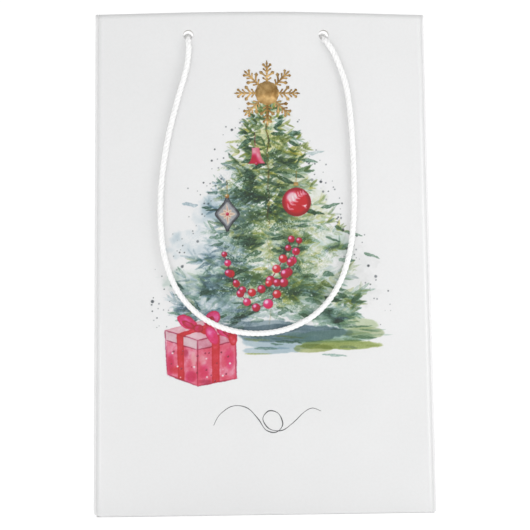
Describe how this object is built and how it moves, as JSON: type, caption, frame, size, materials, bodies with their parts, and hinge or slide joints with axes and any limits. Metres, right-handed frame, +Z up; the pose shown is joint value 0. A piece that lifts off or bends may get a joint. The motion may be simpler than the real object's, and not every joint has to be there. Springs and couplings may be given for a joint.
{
  "type": "paper gift bag",
  "caption": "Upright paper gift bag with gusseted sides, folded bottom, stiffened turned-in rim and two hanging cord loop handles.",
  "frame": {"origin": "on the ground, in the middle of the open bag's bottom", "axes": "+X to the right seen from the printed front, -Y out of the printed front, +Z up"},
  "size_m": [0.2, 0.1114, 0.3],
  "materials": {
    "printed_paper": "white art paper with a gloss film laminated over the print",
    "inner_paper": "matte white uncoated side of the paper",
    "card": "matte grey board",
    "cord": "matte twisted white cord"
  },
  "bodies": {
    "front": {"front_panel": "printed_paper", "front_hem": "inner_paper", "front_stiffener_card": "card", "front_left_knot": "cord", "front_right_knot": "cord"},
    "left_gusset_front_half": {"left_gusset_front": "printed_paper", "left_gusset_front_hem": "inner_paper"},
    "left_gusset_rear_half": {"left_gusset_rear": "printed_paper", "left_gusset_rear_hem": "inner_paper"},
    "right_gusset_front_half": {"right_gusset_front": "printed_paper", "right_gusset_front_hem": "inner_paper"},
    "right_gusset_rear_half": {"right_gusset_rear": "printed_paper", "right_gusset_rear_hem": "inner_paper"},
    "back": {"back_panel": "printed_paper", "back_hem": "inner_paper", "back_stiffener_card": "card", "back_left_knot": "cord", "back_right_knot": "cord", "back_seam_flap": "inner_paper"},
    "lower_back": {"back_foot": "printed_paper"},
    "bottom": {"bottom_flap_front": "printed_paper", "bottom_flap_rear": "printed_paper", "bottom_flap_left": "printed_paper", "bottom_flap_right": "printed_paper", "base_insert_card": "card", "left_gusset_foot": "printed_paper", "right_gusset_foot": "printed_paper"},
    "front_handle": {"front_handle_cord": "cord"},
    "back_handle": {"back_handle_cord": "cord"}
  },
  "joints": [
    {"name": "left_front_corner_crease", "type": "hinge", "parent": "front", "child": "left_gusset_front_half", "pos_m": [-0.0984, -0.0484, 0.15], "axis": [0, 0, -1], "range_deg": [0, 84]},
    {"name": "left_mid_crease", "type": "hinge", "parent": "left_gusset_front_half", "child": "left_gusset_rear_half", "pos_m": [-0.1003, 0, 0.15], "axis": [0, 0, 1], "range_deg": [0, 168]},
    {"name": "left_rear_corner_crease", "type": "hinge", "parent": "left_gusset_rear_half", "child": "back", "pos_m": [-0.0984, 0.0484, 0.15], "axis": [0, 0, -1], "range_deg": [0, 84]},
    {"name": "right_front_corner_crease", "type": "hinge", "parent": "front", "child": "right_gusset_front_half", "pos_m": [0.0984, -0.0484, 0.15], "axis": [0, 0, 1], "range_deg": [0, 84]},
    {"name": "right_mid_crease", "type": "hinge", "parent": "right_gusset_front_half", "child": "right_gusset_rear_half", "pos_m": [0.1003, 0, 0.15], "axis": [0, 0, -1], "range_deg": [0, 168]},
    {"name": "lower_back_crease", "type": "hinge", "parent": "back", "child": "lower_back", "pos_m": [0, 0.05, 0.052], "axis": [1, 0, 0], "range_deg": [0, 142.1]},
    {"name": "bottom_rear_crease", "type": "hinge", "parent": "lower_back", "child": "bottom", "pos_m": [0, 0.0488, 0.0038], "axis": [-1, 0, 0], "range_deg": [0, 80.79], "deforming": ["left_gusset_foot", "right_gusset_foot"]},
    {"name": "front_handle_swing", "type": "hinge", "parent": "front", "child": "front_handle", "pos_m": [0, -0.054, 0.286], "axis": [-1, 0, 0], "range_deg": [0, 180]},
    {"name": "back_handle_swing", "type": "hinge", "parent": "back", "child": "back_handle", "pos_m": [0, 0.054, 0.286], "axis": [1, 0, 0], "range_deg": [0, 180]}
  ],
  "couplings": [
    {"joint": "left_mid_crease", "follows": "left_rear_corner_crease", "ratio": 2},
    {"joint": "left_front_corner_crease", "follows": "left_rear_corner_crease", "ratio": 1},
    {"joint": "right_front_corner_crease", "follows": "left_rear_corner_crease", "ratio": 1},
    {"joint": "right_mid_crease", "follows": "left_rear_corner_crease", "ratio": 2},
    {"joint": "lower_back_crease", "follows": "left_rear_corner_crease", "ratio": 1.6917},
    {"joint": "bottom_rear_crease", "follows": "left_rear_corner_crease", "ratio": 0.96179}
  ]
}
